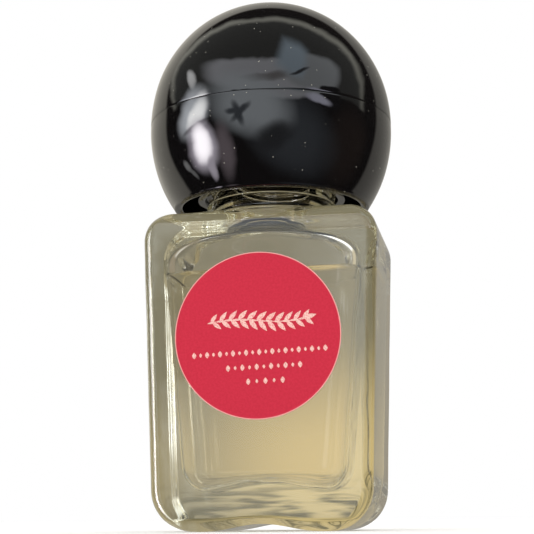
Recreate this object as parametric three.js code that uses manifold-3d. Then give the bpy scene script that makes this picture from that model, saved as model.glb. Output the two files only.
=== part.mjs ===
// A small clear-glass perfume bottle with a ball-shaped screw cap.
// Millimetres, +Z up. The origin is the middle of the footprint, on the table;
// the label faces -Y. The bottle stands on two flat heels under its base.
import * as THREE from 'three';
import { mergeVertices } from 'three/addons/utils/BufferGeometryUtils.js';
import Module from 'manifold-3d';

const wasm = await Module();
wasm.setup();

// ---- Driving dimensions -------------------------------------------------
// Glass body: a rounded rectangle in plan, a little wider at the shoulder.
const BASE_WIDTH = 20.9;
const SHOULDER_WIDTH = 23.1;
const BODY_DEPTH = 16.0;
const BODY_TOP = 30.9;
const PLAN_CORNER = 1.2;
const CORNER_TIGHTENING = 0.5; // share of an edge's rounding taken off the plan corner
const BASE_EDGE_SIDE = 3.9; // edge rounding of the narrow sides, seen from the front
const BASE_EDGE_FRONT = 1.2; // edge rounding of the front and back
const SHOULDER_EDGE_SIDE = 3.0;
const SHOULDER_EDGE_FRONT = 1.8;
const CORNER_STEPS = 6;
const EDGE_STEPS = 6;

// The heels: the base is arched across its width, and flat outside the arch.
const ARCH_HEIGHT = 0.7;
const ARCH_HALF_WIDTH = 5.6;
const ARCH_STEPS = 14;

const CUT_PAST = 1; // how far a cut reaches past the face it comes out of

// Cavity inside the body. Its side walls are thicker towards the base.
const WALL_SIDE_BASE = 2.95;
const WALL_SIDE_SHOULDER = 1.45;
const WALL_FRONT = 2.1;
const FLOOR_TOP = 4.0;
const CAVITY_TOP = 28.8;
const CAVITY_CORNER = 2.2;
const CAVITY_EDGE_FLOOR = 2.4;
const CAVITY_EDGE_TOP = 2.4;

// Neck finish: a plain band at its foot, a right-hand thread and a flat mouth.
const BAND_RADIUS = 6.6;
const BAND_TOP = 32.7;
const BAND_FOOT_FLARE = 0.4;
const BAND_CHAMFER = 0.2;
const BAND_SHOULDER = 0.1; // how far the band's top slopes up to the neck
const NECK_ROOT_DEPTH = 0.8; // how far its foot is sunk into the shoulder
const NECK_RADIUS = 5.9;
const MOUTH_TOP = 38.6;
const MOUTH_ROUNDING = 0.4;
const BORE_RADIUS = 4.0;
const BORE_FLARE = 1.0; // how much wider the bore is where it meets the cavity
const BORE_FLARE_HEIGHT = 1.6;
const BORE_MOUTH_DROP = 0.2; // the flare starts this far below the cavity's ceiling
const BORE_OVERLAP = 1.5; // how far the cut reaches down into the cavity
const THREAD_PITCH = 25.4 / 12;
const THREAD_CREST = 6.55;
const NECK_THREAD_START = 34.2;
const NECK_THREAD_TURNS = 1.6;
const RIDGE_FOOT_HALF = 0.52;
const RIDGE_CREST_HALF = 0.26;
const RIDGE_SUNK = 0.25;
const RIDGE_RUN_OUT_TURNS = 0.09;
const RIDGE_END_SUNK = 0.15; // how far its crest is inside the wall at its two ends
const RIDGE_STEPS_PER_TURN = 36;

// Ball cap: a skirt below the seam, with a threaded collar inside it, and a
// hollow dome above, located on a low spigot ring. The skirt ends in a short
// straight land under the seam. The ball is a little taller than it is wide.
const BALL_RADIUS = 12.4;
const SKIRT_HALF_HEIGHT = 13.3;
const DOME_HALF_HEIGHT = 12.9;
const SKIRT_CENTRE = 40.4;
const SEAM = 41.0;
const RIM = 32.3;
const INNER_RADIUS = 11.2;
const INNER_HALF_HEIGHT = 12.1;
const INNER_CENTRE = 39.6;
const INNER_TOP_DEG = -3; // where the inner wall meets the deck, below its centre
const DECK_TOP = 40.5;
const DECK_FILLET = 0.4;
const DECK_UNDERSIDE = 39.45;
const COLLAR_BORE = 6.75;
const COLLAR_OUTER = 7.6;
const COLLAR_FOOT = 33.2;
const CAP_THREAD_CREST = 6.1;
const CAP_THREAD_TURNS = 1.2;
const CAP_THREAD_DELAY_TURNS = 0.3; // it begins this much round from the neck's
const SPIGOT_OUTER = 11.1;
const SPIGOT_INNER = 10.1;
const SPIGOT_HEIGHT = 0.9;
const DOME_WALL = 1.2;
const SEAM_GAP = 0.03;
const BALL_STEPS = 12; // from the seam to the pole
const INNER_STEPS = 9;
const ROUND_STEPS = 48;

// Loose pieces.
const LINER_RADIUS = 6.6;
const LINER_THICKNESS = 0.8;
const LIQUID_LEVEL = 24.6;
const LIQUID_CLEARANCE = 0.12;
const LABEL_RADIUS = 8.0;
const LABEL_HEIGHT = 18.3; // of its centre
const LABEL_THICKNESS = 0.12;
const LABEL_GAP = 0.01;

// ---- Solids -------------------------------------------------------------
function toSolid(geometry) {
  geometry.deleteAttribute('normal');
  geometry.deleteAttribute('uv');
  const merged = mergeVertices(geometry, 1e-4);
  return new wasm.Manifold(new wasm.Mesh({
    numProp: 3,
    vertProperties: new Float32Array(merged.attributes.position.array),
    triVerts: new Uint32Array(merged.index.array),
  }));
}

function toGeometry(solid) {
  const mesh = solid.getMesh();
  const geometry = new THREE.BufferGeometry();
  geometry.setAttribute('position', new THREE.BufferAttribute(mesh.vertProperties, 3));
  geometry.setIndex(new THREE.BufferAttribute(mesh.triVerts, 1));
  geometry.computeVertexNormals();
  return geometry;
}

// A solid turned about the Z axis; profile is [radius, z] pairs, going up the
// outside, and it starts and ends on the axis or closes on itself.
function turned(profile) {
  const points = profile.map(([radius, z]) => new THREE.Vector2(radius, z));
  const lathe = new THREE.LatheGeometry(points, ROUND_STEPS);
  return toSolid(lathe.rotateX(Math.PI / 2));
}

// Points of an arc in a profile, from one angle to another, in degrees above
// the horizontal: of a circle, or of an ellipse where it has a half height.
function arc(radius, centreZ, fromDeg, toDeg, steps, halfHeight = radius) {
  const points = [];
  for (let i = 0; i <= steps; i += 1) {
    const angle = THREE.MathUtils.degToRad(fromDeg + (toDeg - fromDeg) * i / steps);
    points.push([radius * Math.cos(angle), centreZ + halfHeight * Math.sin(angle)]);
  }
  return points;
}

// A closed skin through rings that all have the same number of points, listed
// anticlockwise from above and from the bottom ring to the top one.
function skin(rings) {
  const count = rings[0].length;
  const position = rings.flat(2);
  const index = [];
  for (let level = 0; level + 1 < rings.length; level += 1) {
    for (let i = 0; i < count; i += 1) {
      const a = level * count + i;
      const b = level * count + (i + 1) % count;
      index.push(a, b, b + count, a, b + count, a + count);
    }
  }
  const last = (rings.length - 1) * count;
  for (let i = 1; i + 1 < count; i += 1) {
    index.push(0, i + 1, i, last, last + i, last + i + 1);
  }
  const geometry = new THREE.BufferGeometry();
  geometry.setAttribute('position', new THREE.Float32BufferAttribute(position, 3));
  geometry.setIndex(index);
  return geometry;
}

// One ring: a rectangle with rounded corners at height z.
function roundedRing(halfWidth, halfDepth, corner, z) {
  const ring = [];
  for (let quarter = 0; quarter < 4; quarter += 1) {
    const signX = quarter === 0 || quarter === 3 ? 1 : -1;
    const signY = quarter < 2 ? 1 : -1;
    for (let i = 0; i <= CORNER_STEPS; i += 1) {
      const angle = (quarter + i / CORNER_STEPS) * Math.PI / 2;
      ring.push([
        signX * (halfWidth - corner) + corner * Math.cos(angle),
        signY * (halfDepth - corner) + corner * Math.sin(angle),
        z,
      ]);
    }
  }
  return ring;
}

// How far a rounded edge of this size has drawn in, at a height above or
// below the end face.
function drawnIn(size, fromEnd) {
  if (fromEnd >= size) return 0;
  return size - Math.sqrt(Math.max(0, size * size - (size - fromEnd) ** 2));
}

// Heights at which a rounded edge gets its rings, counted from the end face.
function edgeHeights(size) {
  const heights = [];
  for (let i = 0; i <= EDGE_STEPS; i += 1) {
    heights.push(size * (1 - Math.cos(i / EDGE_STEPS * Math.PI / 2)));
  }
  return heights;
}

function halfWidthAt(z) {
  return THREE.MathUtils.lerp(BASE_WIDTH, SHOULDER_WIDTH, z / BODY_TOP) / 2;
}

function cavityHalfWidthAt(z) {
  return halfWidthAt(z) - THREE.MathUtils.lerp(WALL_SIDE_BASE, WALL_SIDE_SHOULDER, z / BODY_TOP);
}

// A block whose end edges are rounded: by different amounts on its narrow
// sides and on its front and back.
function roundedBlock({
  bottom, top, halfWidth, halfDepth, corner, lowSide, lowFront, highSide, highFront,
}) {
  const heights = [
    ...edgeHeights(lowSide).map((h) => bottom + h),
    ...edgeHeights(highSide).map((h) => top - h).reverse(),
  ];
  const rings = heights.map((z) => {
    const narrow = drawnIn(lowSide, z - bottom) + drawnIn(highSide, top - z);
    const front = drawnIn(lowFront, z - bottom) + drawnIn(highFront, top - z);
    const tighter = Math.min(narrow, front) * CORNER_TIGHTENING;
    return roundedRing(
      halfWidth(z) - narrow,
      halfDepth - front,
      corner - tighter,
      z,
    );
  });
  return toSolid(skin(rings));
}

// A helical ridge on a round wall. It is sunk into the wall by RIDGE_SUNK and
// sinks away at both ends, so its section is lower there.
function helicalRidge({ wall, crest, startZ, startTurn, turns }) {
  const outward = Math.sign(crest - wall);
  const steps = Math.round(turns * RIDGE_STEPS_PER_TURN);
  const rings = [];
  for (let i = 0; i <= steps; i += 1) {
    const turn = turns * i / steps;
    const toEnd = Math.min(turn, turns - turn) / RIDGE_RUN_OUT_TURNS;
    const height = Math.sin(Math.min(1, toEnd) * Math.PI / 2);
    const top = THREE.MathUtils.lerp(wall - outward * RIDGE_END_SUNK, crest, height);
    const angle = (startTurn + turn) * 2 * Math.PI;
    const z = startZ + THREAD_PITCH * turn;
    const section = [
      [wall - outward * RIDGE_SUNK, z - RIDGE_FOOT_HALF],
      [top, z - RIDGE_CREST_HALF],
      [top, z + RIDGE_CREST_HALF],
      [wall - outward * RIDGE_SUNK, z + RIDGE_FOOT_HALF],
    ];
    if (outward < 0) section.reverse();
    rings.push(section.map(([r, h]) => [r * Math.cos(angle), r * Math.sin(angle), h]));
  }
  return toSolid(skin(rings.map((ring) => ring.slice().reverse())));
}

// ---- Pieces -------------------------------------------------------------
function bodyArch() {
  const outline = new THREE.Shape();
  outline.moveTo(-ARCH_HALF_WIDTH, -CUT_PAST);
  for (let i = 0; i <= ARCH_STEPS; i += 1) {
    const x = ARCH_HALF_WIDTH * (2 * i / ARCH_STEPS - 1);
    const rise = ARCH_HEIGHT * Math.cos(x / ARCH_HALF_WIDTH * Math.PI / 2) ** 2;
    outline.lineTo(x, i === 0 || i === ARCH_STEPS ? 0 : rise);
  }
  outline.lineTo(ARCH_HALF_WIDTH, -CUT_PAST);
  const geometry = new THREE.ExtrudeGeometry(outline, {
    depth: BODY_DEPTH + 2 * CUT_PAST, steps: 1, bevelEnabled: false,
  });
  geometry.rotateX(Math.PI / 2).translate(0, BODY_DEPTH / 2 + CUT_PAST, 0);
  return toSolid(geometry);
}

function cavity(clearance) {
  return roundedBlock({
    bottom: FLOOR_TOP + clearance,
    top: CAVITY_TOP,
    halfWidth: (z) => cavityHalfWidthAt(z) - clearance,
    halfDepth: BODY_DEPTH / 2 - WALL_FRONT - clearance,
    corner: CAVITY_CORNER,
    lowSide: CAVITY_EDGE_FLOOR,
    lowFront: CAVITY_EDGE_FLOOR,
    highSide: CAVITY_EDGE_TOP,
    highFront: CAVITY_EDGE_TOP,
  });
}

function glassBottle() {
  const body = roundedBlock({
    bottom: 0,
    top: BODY_TOP,
    halfWidth: halfWidthAt,
    halfDepth: BODY_DEPTH / 2,
    corner: PLAN_CORNER,
    lowSide: BASE_EDGE_SIDE,
    lowFront: BASE_EDGE_FRONT,
    highSide: SHOULDER_EDGE_SIDE,
    highFront: SHOULDER_EDGE_FRONT,
  }).subtract(bodyArch());
  const neck = turned([
    [0, BODY_TOP - NECK_ROOT_DEPTH],
    [BAND_RADIUS + BAND_FOOT_FLARE, BODY_TOP - NECK_ROOT_DEPTH],
    [BAND_RADIUS + BAND_FOOT_FLARE, BODY_TOP],
    ...arc(BAND_FOOT_FLARE, 0, -90, -180, 3).map(
      ([r, h]) => [BAND_RADIUS + BAND_FOOT_FLARE + r, BODY_TOP + BAND_FOOT_FLARE + h],
    ),
    [BAND_RADIUS, BAND_TOP - BAND_CHAMFER],
    [BAND_RADIUS - BAND_CHAMFER, BAND_TOP],
    [NECK_RADIUS, BAND_TOP + BAND_SHOULDER],
    ...arc(MOUTH_ROUNDING, 0, 0, 90, 3).map(
      ([r, h]) => [NECK_RADIUS - MOUTH_ROUNDING + r, MOUTH_TOP - MOUTH_ROUNDING + h],
    ),
    [0, MOUTH_TOP],
  ]);
  const thread = helicalRidge({
    wall: NECK_RADIUS,
    crest: THREAD_CREST,
    startZ: NECK_THREAD_START,
    startTurn: 0,
    turns: NECK_THREAD_TURNS,
  });
  const bore = turned([
    [0, CAVITY_TOP - BORE_OVERLAP],
    [BORE_RADIUS + BORE_FLARE, CAVITY_TOP - BORE_OVERLAP],
    [BORE_RADIUS + BORE_FLARE, CAVITY_TOP - BORE_MOUTH_DROP],
    [BORE_RADIUS, CAVITY_TOP - BORE_MOUTH_DROP + BORE_FLARE_HEIGHT],
    [BORE_RADIUS, MOUTH_TOP - MOUTH_ROUNDING],
    [BORE_RADIUS + MOUTH_ROUNDING, MOUTH_TOP],
    [BORE_RADIUS + MOUTH_ROUNDING, MOUTH_TOP + CUT_PAST],
    [0, MOUTH_TOP + CUT_PAST],
  ]);
  return body.add(neck).add(thread).subtract(cavity(0)).subtract(bore);
}

// The liquid fills the cavity up to its level, with a flat free surface.
function perfume() {
  const above = new THREE.BoxGeometry(SHOULDER_WIDTH, BODY_DEPTH, BODY_TOP);
  above.translate(0, 0, LIQUID_LEVEL + BODY_TOP / 2);
  return cavity(LIQUID_CLEARANCE).subtract(toSolid(above));
}

function paperLabel() {
  const disc = new THREE.CylinderGeometry(LABEL_RADIUS, LABEL_RADIUS, LABEL_THICKNESS, ROUND_STEPS);
  const middle = BODY_DEPTH / 2 + LABEL_GAP + LABEL_THICKNESS / 2;
  return toSolid(disc.translate(0, -middle, LABEL_HEIGHT));
}

function capLiner() {
  const underside = MOUTH_TOP + SEAM_GAP / 2;
  return turned([
    [0, underside],
    [LINER_RADIUS, underside],
    [LINER_RADIUS, underside + LINER_THICKNESS],
    [0, underside + LINER_THICKNESS],
  ]);
}

// The skirt: the lower half of the ball, the deck across it, and the collar
// that hangs from the deck and screws on to the neck.
function capSkirt() {
  const toDeg = (share) => THREE.MathUtils.radToDeg(Math.asin(share));
  const rimAngle = toDeg((RIM - SKIRT_CENTRE) / SKIRT_HALF_HEIGHT);
  const innerRimAngle = toDeg((RIM - INNER_CENTRE) / INNER_HALF_HEIGHT);
  const shell = turned([
    [0, DECK_UNDERSIDE],
    [COLLAR_BORE, DECK_UNDERSIDE],
    [COLLAR_BORE, COLLAR_FOOT],
    [COLLAR_OUTER, COLLAR_FOOT],
    [COLLAR_OUTER, DECK_UNDERSIDE - DECK_FILLET],
    ...arc(INNER_RADIUS, INNER_CENTRE, INNER_TOP_DEG, innerRimAngle, INNER_STEPS, INNER_HALF_HEIGHT),
    ...arc(BALL_RADIUS, SKIRT_CENTRE, rimAngle, 0, BALL_STEPS, SKIRT_HALF_HEIGHT),
    [BALL_RADIUS, SEAM],
    [SPIGOT_OUTER, SEAM],
    [SPIGOT_OUTER, SEAM + SPIGOT_HEIGHT],
    [SPIGOT_INNER, SEAM + SPIGOT_HEIGHT],
    [SPIGOT_INNER, DECK_TOP],
    [0, DECK_TOP],
  ]);
  const thread = helicalRidge({
    wall: COLLAR_BORE,
    crest: CAP_THREAD_CREST,
    startZ: NECK_THREAD_START + THREAD_PITCH * (CAP_THREAD_DELAY_TURNS - 0.5),
    startTurn: CAP_THREAD_DELAY_TURNS,
    turns: CAP_THREAD_TURNS,
  });
  return shell.add(thread);
}

function capDome() {
  const foot = SEAM + SEAM_GAP;
  const outerFoot = THREE.MathUtils.radToDeg(Math.asin(SEAM_GAP / DOME_HALF_HEIGHT));
  const innerRadius = BALL_RADIUS - DOME_WALL;
  const innerHalfHeight = DOME_HALF_HEIGHT - DOME_WALL;
  return turned([
    ...arc(BALL_RADIUS, SEAM, outerFoot, 90, BALL_STEPS, DOME_HALF_HEIGHT),
    ...arc(innerRadius, SEAM, 90, 0, INNER_STEPS, innerHalfHeight).slice(0, -1),
    [innerRadius, foot],
    [BALL_RADIUS * Math.cos(THREE.MathUtils.degToRad(outerFoot)), foot],
  ]);
}

// ---- Materials and assembly ---------------------------------------------
function finish(colour, roughness, opacity = 1) {
  return new THREE.MeshStandardMaterial({
    color: colour, roughness, metalness: 0, opacity, transparent: opacity < 1,
  });
}

const bottle = new THREE.Group();
function add(name, solid, material) {
  const mesh = new THREE.Mesh(toGeometry(solid), material);
  mesh.name = name;
  bottle.add(mesh);
}

add('glass_bottle', glassBottle(), finish(0xdde3d6, 0.05, 0.35));
add('perfume', perfume(), finish(0xe6dda0, 0.05, 0.6));
add('paper_label', paperLabel(), finish(0xdc3a50, 0.6));
add('cap_liner', capLiner(), finish(0xe9e6dc, 0.8));
add('cap_skirt', capSkirt(), finish(0x0b0b0d, 0.08));
add('cap_dome', capDome(), finish(0x0b0b0d, 0.08));

export default bottle;
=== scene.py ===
"""A small clear-glass perfume bottle with a ball-shaped screw cap of black plastic.

It is built from the inside of the mould outwards: the glass, the perfume in
it, the paper label on its front, then the liner, skirt and dome of the cap,
and last the camera, the floor, the card behind and the light. Lengths in each
section are millimetres, and each mesh is put into metres as it is made.
"""
import math

import bpy
import numpy as np
from mathutils import Matrix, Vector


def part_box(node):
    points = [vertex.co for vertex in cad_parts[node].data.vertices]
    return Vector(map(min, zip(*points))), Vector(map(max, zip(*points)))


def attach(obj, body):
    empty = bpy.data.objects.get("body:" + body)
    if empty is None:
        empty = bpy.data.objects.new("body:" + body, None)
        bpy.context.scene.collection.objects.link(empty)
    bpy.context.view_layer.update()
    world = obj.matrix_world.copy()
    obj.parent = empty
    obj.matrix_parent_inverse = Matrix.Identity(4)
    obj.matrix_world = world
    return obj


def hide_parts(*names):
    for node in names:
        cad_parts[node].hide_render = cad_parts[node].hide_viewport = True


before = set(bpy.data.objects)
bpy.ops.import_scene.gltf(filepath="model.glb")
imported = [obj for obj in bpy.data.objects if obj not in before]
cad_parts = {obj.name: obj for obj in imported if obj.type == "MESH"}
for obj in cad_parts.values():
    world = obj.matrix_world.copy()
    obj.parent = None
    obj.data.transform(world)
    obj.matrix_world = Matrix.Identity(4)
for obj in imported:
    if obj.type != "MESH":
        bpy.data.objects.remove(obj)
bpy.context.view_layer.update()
MM = 0.001


# ---- Glass bottle -------------------------------------------------------
# One piece of clear soda-lime glass, blown in a two-part mould: a thick
# rounded block that stands on two heels, and a round neck with a plain band
# and a screw thread. Its walls are a little uneven inside, as blown glass is.
glass_high = np.array(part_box("glass_bottle")[1]) / MM
MOUTH = glass_high[2]
BODY_DEPTH = 2 * glass_high[1]
BODY_TOP = 30.9
BASE_WIDTH, SHOULDER_WIDTH = 20.9, 23.1
PLAN_CORNER = 1.2
HEEL_SIDE = 3.9
BEVEL_HEIGHT, BEVEL_DEPTH, BEVEL_SOFT = 1.0, 1.3, 0.12
SHOULDER_SIDE, SHOULDER_FRONT = 3.0, 1.8
ARCH_RISE, ARCH_HALF_WIDTH, ARCH_FADE = 0.7, 5.6, 3.0
BAND_RADIUS, BAND_TOP, BAND_FILLET, BAND_EDGE = 6.6, 32.7, 0.4, 0.25
NECK_RADIUS, LIP_ROUNDING, BORE_RADIUS = 5.9, 0.4, 4.0
THREAD_PITCH, THREAD_CREST = 25.4 / 12, 6.55
NECK_THREAD_START, NECK_THREAD_TURNS = 34.2, 1.6
RIDGE_FOOT, RIDGE_CREST, RIDGE_RUN_OUT = 0.52, 0.16, 0.09
WALL_BASE, WALL_SHOULDER, WALL_FRONT = 2.95, 1.45, 2.1
FLOOR, FLOOR_ROUNDING, FLOOR_DOME = 3.7, 2.4, 0.9
CAVITY_CORNER, CAVITY_SHOULDER, CAVITY_TOP = 2.2, 25.8, 28.8
BORE_FLARE = 1.3
OUTER_WAVE, INNER_WAVE = 0.02, 0.07
ROUND = 256
SIDE_SHARE, FRONT_SHARE = 12 / 64, 20 / 64
EDGE_ROWS = 22
turn = np.arange(ROUND) / ROUND


def plan_ring(half_width, half_depth, corner, roundness):
    """Rings of points about +Z, one row for each station.

    A ring is a rectangle with round corners, and roundness blends it into a
    circle of radius half_width. In each quarter a fixed share of the turn
    runs along each straight, and the rest goes round the corner.
    """
    quarter = np.floor(turn * 4).astype(int)
    share = turn * 4 - quarter
    share = np.where(quarter % 2 == 1, 1 - share, share)
    sign_x = np.where((quarter == 0) | (quarter == 3), 1, -1)
    sign_y = np.where(quarter < 2, 1, -1)
    along_side = np.clip(share / SIDE_SHARE, 0, 1)
    along_front = np.clip((1 - share) / FRONT_SHARE, 0, 1)
    corner_share = 1 - SIDE_SHARE - FRONT_SHARE
    angle = np.clip((share - SIDE_SHARE) / corner_share, 0, 1) * np.pi / 2
    a, b, c, m = [np.asarray(v, float)[:, None] for v in (half_width, half_depth, corner, roundness)]
    x = sign_x * ((a - c) * along_front + c * np.cos(angle))
    y = sign_y * ((b - c) * along_side + c * np.sin(angle))
    round_x, round_y = a * np.cos(2 * np.pi * turn), a * np.sin(2 * np.pi * turn)
    return (1 - m) * x + m * round_x, (1 - m) * y + m * round_y


def drawn_in(rounding, from_end):
    """How far a rounded edge has drawn in, at a height from the end face."""
    rise = np.clip(rounding - from_end, 0, rounding)
    return rounding - np.sqrt(rounding**2 - rise**2)


def bevelled_in(from_end):
    """How far the base's front and back edges are bevelled in, at a height from the end face.

    A straight line down to nothing at the bevel's height, where the square
    root of its square and of its softness squared rounds the crease.
    """
    share = 1 - from_end / BEVEL_HEIGHT
    return BEVEL_DEPTH * (share + np.sqrt(share**2 + BEVEL_SOFT**2)) / 2


def half_width_at(z):
    """Half the body's width: it widens evenly from the base to the shoulder."""
    return (BASE_WIDTH + (SHOULDER_WIDTH - BASE_WIDTH) * z / BODY_TOP) / 2


def cavity_half_width_at(z):
    """Half the cavity's width: its side walls thin evenly towards the shoulder."""
    return half_width_at(z) - WALL_BASE + (WALL_BASE - WALL_SHOULDER) * z / BODY_TOP


def waves(z, size, lobes):
    """Slow unevenness of a glass wall: a few sines round the turn and up z."""
    total = 0
    for i, count in enumerate(lobes):
        slope = 0.55 + 0.31 * i
        total = total + np.sin(2 * np.pi * count * turn + slope * z + 1.7 * i * i) / (1 + 0.5 * i)
    return size * total / len(lobes)


def swell(x, y, amount):
    """Moves rings out by an amount, square to their own outline."""
    along_x = np.roll(x, -1, 1) - np.roll(x, 1, 1)
    along_y = np.roll(y, -1, 1) - np.roll(y, 1, 1)
    length = np.hypot(along_x, along_y) + 1e-9
    return x + amount * along_y / length, y - amount * along_x / length


def thread_ridge(z, start, first_turn, turns):
    """Height, 0 to 1, of a helical ridge: a smooth step down from its helix.

    The helix climbs one pitch a turn from the start height at first_turn; at
    each point every coil is tried, and both ends run out.
    """
    height = 0
    for coil in range(-1, int(turns + first_turn) + 2):
        along = turn[None] + coil - first_turn
        off = np.abs(z - (start + THREAD_PITCH * along))
        flank = np.clip((RIDGE_FOOT - off) / (RIDGE_FOOT - RIDGE_CREST), 0, 1)
        ends = np.clip(np.minimum(along, turns - along) / RIDGE_RUN_OUT, 0, 1)
        shape = flank**2 * (3 - 2 * flank) * ends**2 * (3 - 2 * ends)
        height = np.maximum(height, shape)
    return height


def surface_piece(name, x, y, z, body, slot):
    """A closed piece from rings: its first and last rings are single points.

    Neighbouring rings are joined by four-sided faces, and the end points by
    triangles. The rings run anticlockwise from above where z rises outside.
    """
    points = np.stack(np.broadcast_arrays(x, y, z), -1)
    rows, count = points.shape[:2]
    inner = points[1:-1].reshape(-1, 3)
    vertices = np.vstack([inner, points[0].mean(0), points[-1].mean(0)]) * MM
    here = np.arange(count)
    beside = (here + 1) % count
    level = np.arange(rows - 3)[:, None] * count
    quads = np.stack(np.broadcast_arrays(
        level + here, level + beside, level + count + beside, level + count + here), -1)
    first, last = len(inner), len(inner) + 1
    top = (rows - 3) * count
    fans = [np.stack(np.broadcast_arrays(first, beside, here), -1),
            np.stack(np.broadcast_arrays(top + here, top + beside, last), -1)]
    mesh = bpy.data.meshes.new(name)
    mesh.from_pydata(vertices.tolist(), [], quads.reshape(-1, 4).tolist() + np.vstack(fans).tolist())
    mesh.shade_smooth()
    piece = bpy.data.objects.new(name, mesh)
    bpy.context.collection.objects.link(piece)
    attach(piece, body)
    return piece


def stations(*blocks):
    """Joins blocks of stations, each a row of equally long columns."""
    return [np.concatenate(column) for column in zip(*[np.broadcast_arrays(*b) for b in blocks])]


def outside_rings():
    """The outside, from the middle of the base up to the mouth's outer edge."""
    step = np.linspace(0, np.pi / 2, EDGE_ROWS)
    spread = np.linspace(0, 1, 18)[:-1]
    half_depth = BODY_DEPTH / 2
    edge_z = np.sort(np.concatenate([
        HEEL_SIDE * (1 - np.cos(step)),
        BEVEL_HEIGHT * np.linspace(0.74, 1.26, 8),
        np.linspace(HEEL_SIDE, BODY_TOP - SHOULDER_SIDE, 44)[1:-1],
        BODY_TOP - SHOULDER_SIDE * (1 - np.cos(step[::-1])),
    ]))
    narrow = drawn_in(HEEL_SIDE, edge_z) + drawn_in(SHOULDER_SIDE, BODY_TOP - edge_z)
    front = bevelled_in(edge_z) + drawn_in(SHOULDER_FRONT, BODY_TOP - edge_z)
    body_a, body_b = half_width_at(edge_z) - narrow, half_depth - front
    body_c = PLAN_CORNER - np.minimum(narrow, front) / 2
    foot = BAND_RADIUS + BAND_FILLET
    inward = np.linspace(0, 1, 14)[1:]
    curve = np.linspace(0, np.pi / 2, 7)
    neck_z = np.arange(BAND_TOP + 0.12, MOUTH - LIP_ROUNDING, 0.07)
    lip = np.linspace(0, np.pi / 2, 7)
    z, a, b, c, m = stations(
        (0.0, spread * body_a[0], spread * body_b[0], spread * body_c[0], 0.0),
        (edge_z, body_a, body_b, body_c, 0.0),
        (BODY_TOP + 0.03 * inward, body_a[-1] + (foot - body_a[-1]) * inward,
         body_b[-1] + (foot - body_b[-1]) * inward, body_c[-1] + (foot - body_c[-1]) * inward,
         inward**2 * (3 - 2 * inward)),
        (BODY_TOP + 0.03 + BAND_FILLET * (1 - np.cos(curve[1:])),
         *[foot - BAND_FILLET * np.sin(curve[1:])] * 3, 1.0),
        (np.linspace(BODY_TOP + 0.55, BAND_TOP - BAND_EDGE - 0.05, 6), *[BAND_RADIUS] * 3, 1.0),
        (BAND_TOP - BAND_EDGE * (1 - np.sin(curve)),
         *[BAND_RADIUS - BAND_EDGE * (1 - np.cos(curve))] * 3, 1.0),
        (BAND_TOP + 0.1 * np.sin(curve[1:]),
         *[NECK_RADIUS + (BAND_RADIUS - BAND_EDGE - NECK_RADIUS) * np.cos(curve[1:])] * 3, 1.0),
        (neck_z, *[NECK_RADIUS] * 3, 1.0),
        (MOUTH - LIP_ROUNDING * (1 - np.sin(lip)),
         *[NECK_RADIUS - LIP_ROUNDING * (1 - np.cos(lip))] * 3, 1.0),
    )
    x, y = plan_ring(a, b, c, m)
    z = z[:, None] + np.zeros_like(turn)

    # The foot of the neck swells out of the shoulder's front and back edges.
    radius = np.hypot(x, y) + 1e-9
    near_top = np.clip((z - (BODY_TOP - 0.6)) / 0.3, 0, 1) * (z < BODY_TOP + 0.04)
    soft = 0.25
    gap = np.clip((radius - foot) / soft, -1, 1)
    joined = np.where(gap < 1, foot + soft * (1 + gap) ** 2 / 4, radius)
    grown = np.where(near_top > 0, radius + near_top * (np.maximum(joined, radius) - radius), radius)
    x, y = x * grown / radius, y * grown / radius

    # The thread, the arch under the base and the slow unevenness of the walls.
    on_neck = (z > BAND_TOP + 0.1) & (z < MOUTH - LIP_ROUNDING)
    ridge = thread_ridge(z, NECK_THREAD_START, 0, NECK_THREAD_TURNS) * on_neck
    growth = 1 + ridge * (THREAD_CREST - NECK_RADIUS) / NECK_RADIUS
    x, y = x * growth, y * growth
    on_wall = np.clip((z - 1) / 3, 0, 1) * np.clip((BODY_TOP - 1 - z) / 3, 0, 1)
    x, y = swell(x, y, waves(z, OUTER_WAVE, (2, 3, 5)) * on_wall)
    arch = ARCH_RISE * np.cos(np.clip(x / ARCH_HALF_WIDTH, -1, 1) * np.pi / 2) ** 2
    z = z + arch * np.clip(1 - z / ARCH_FADE, 0, 1) ** 2
    return x, y, z


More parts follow.
